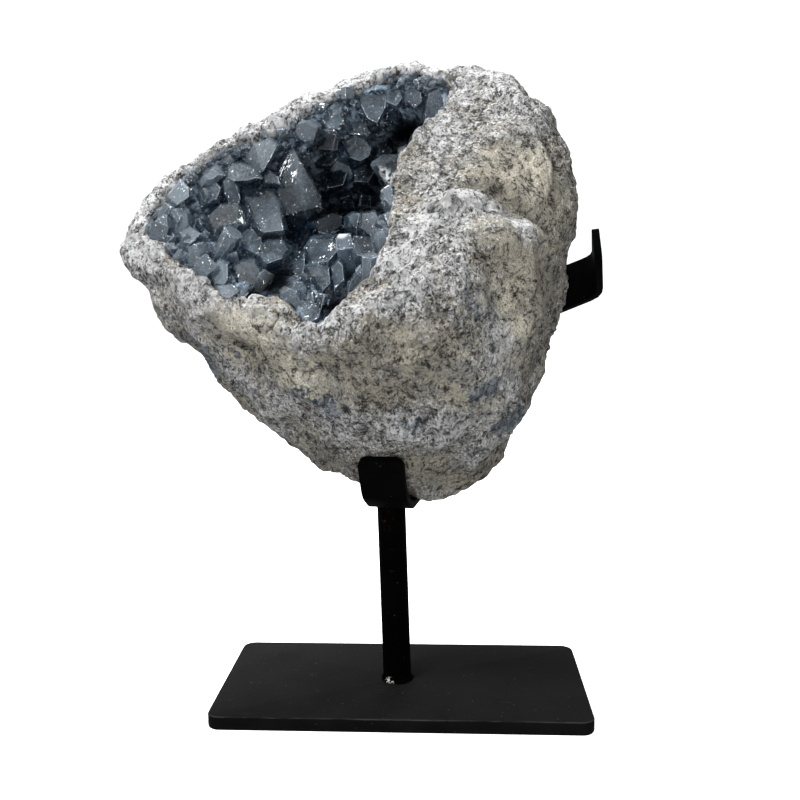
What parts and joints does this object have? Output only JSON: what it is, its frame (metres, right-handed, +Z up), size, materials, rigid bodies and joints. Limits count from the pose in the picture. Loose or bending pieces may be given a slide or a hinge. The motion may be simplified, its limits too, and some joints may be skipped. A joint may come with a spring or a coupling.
{
  "type": "celestite geode on display stand",
  "caption": "Broken-open celestite geode lined with pale blue crystals, resting in a black steel cradle on a post and flat base.",
  "frame": {"origin": "middle of the base plate's underside", "axes": "+Z up, the front with the mouth of the hollow faces -Y, +X to the viewer's right"},
  "size_m": [0.2138, 0.1575, 0.2787],
  "materials": {
    "black_paint": "satin black paint on steel, lightly scuffed",
    "rock": "rough grey-beige rock with white frosted patches",
    "celestite": "clear to milky pale blue crystal with glossy faces"
  },
  "bodies": {
    "root": {"base_plate": "black_paint", "post": "black_paint", "cradle_strap": "black_paint", "back_arm": "black_paint", "geode_shell": "rock", "crystal_crust": "celestite"}
  },
  "joints": []
}
